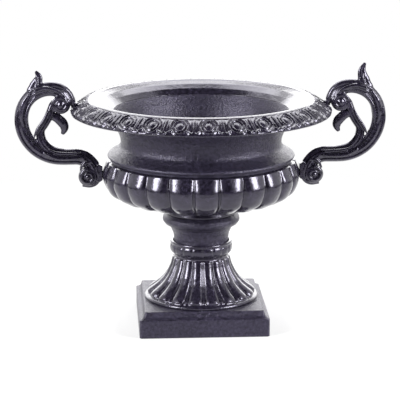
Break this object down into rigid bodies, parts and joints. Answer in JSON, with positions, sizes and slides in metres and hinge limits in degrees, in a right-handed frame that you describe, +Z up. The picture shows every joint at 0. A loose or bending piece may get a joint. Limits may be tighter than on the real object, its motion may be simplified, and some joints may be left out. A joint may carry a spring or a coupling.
{
  "type": "urn planter",
  "caption": "Cast-iron pedestal urn for plants: square plinth, fluted foot, lobed bowl, drooping ornamented rim and scroll handles, held together by a central bolt.",
  "frame": {"origin": "middle of the plinth's underside, on the ground", "axes": "+Z up through the bowl's mouth; the two scroll handles lie along X"},
  "size_m": [0.3788, 0.2658, 0.2704],
  "materials": {
    "painted_iron": "sand-cast iron under glossy graphite black paint, fine casting grain showing through",
    "zinc_steel": "dull zinc-plated steel fasteners"
  },
  "bodies": {
    "root": {"plinth": "painted_iron", "socle": "painted_iron", "stem": "painted_iron", "lower_bowl": "painted_iron", "neck": "painted_iron", "rim": "painted_iron", "handle_right": "painted_iron", "handle_left": "painted_iron", "tie_bolt": "zinc_steel", "tie_washer": "zinc_steel", "tie_plate": "zinc_steel", "tie_nut": "zinc_steel", "handle_bolt_right": "zinc_steel", "handle_bolt_left": "zinc_steel", "handle_washer_right": "zinc_steel", "handle_washer_left": "zinc_steel", "lug_screw_right": "zinc_steel", "lug_screw_left": "zinc_steel", "neck_screws": "zinc_steel", "rim_screws": "zinc_steel"}
  },
  "joints": []
}
